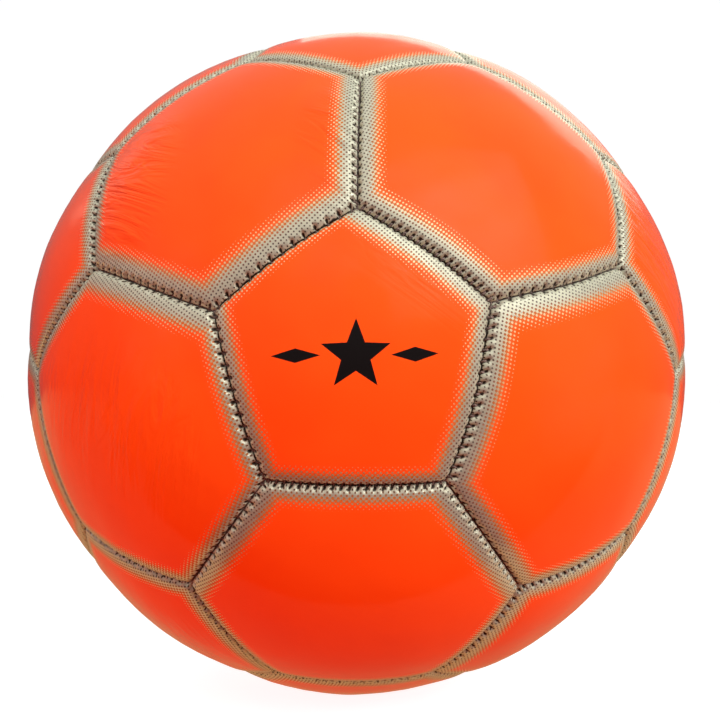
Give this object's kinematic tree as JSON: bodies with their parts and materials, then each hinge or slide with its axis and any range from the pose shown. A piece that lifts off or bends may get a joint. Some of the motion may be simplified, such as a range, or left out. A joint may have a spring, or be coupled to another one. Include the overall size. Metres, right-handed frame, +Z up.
{
  "type": "soccer ball",
  "caption": "Stitched inflatable ball: glossy pentagon and hexagon panels sewn over a bladder, with a needle valve at the rear pole.",
  "frame": {"origin": "centre of the ball", "axes": "+Y out through the middle of the valve, -Y out through the printed pentagon opposite it, +Z up through a corner of the printed pentagon, +X to its right-hand side as seen from the front"},
  "size_m": [0.2174, 0.2199, 0.2192],
  "materials": {
    "cover": "glossy orange PVC film with a pale silver halftone border along each seam",
    "thread": "dark waxed polyester",
    "bladder": "satin black butyl",
    "valve": "satin black",
    "patch": "woven cotton"
  },
  "bodies": {
    "root": {"printed_panel": "cover", "valve_panel": "cover", "pentagon_panel_01": "cover", "pentagon_panel_02": "cover", "pentagon_panel_03": "cover", "pentagon_panel_04": "cover", "pentagon_panel_05": "cover", "pentagon_panel_06": "cover", "pentagon_panel_07": "cover", "pentagon_panel_08": "cover", "pentagon_panel_09": "cover", "pentagon_panel_10": "cover", "hexagon_panel_01": "cover", "hexagon_panel_02": "cover", "hexagon_panel_03": "cover", "hexagon_panel_04": "cover", "hexagon_panel_05": "cover", "hexagon_panel_06": "cover", "hexagon_panel_07": "cover", "hexagon_panel_08": "cover", "hexagon_panel_09": "cover", "hexagon_panel_10": "cover", "hexagon_panel_11": "cover", "hexagon_panel_12": "cover", "hexagon_panel_13": "cover", "hexagon_panel_14": "cover", "hexagon_panel_15": "cover", "hexagon_panel_16": "cover", "hexagon_panel_17": "cover", "hexagon_panel_18": "cover", "hexagon_panel_19": "cover", "hexagon_panel_20": "cover", "front_half_thread": "thread", "rear_half_thread": "thread", "joining_thread": "thread", "closing_thread": "thread", "bladder": "bladder", "valve_patch": "patch", "valve_seat": "valve", "valve_core": "valve"}
  },
  "joints": []
}
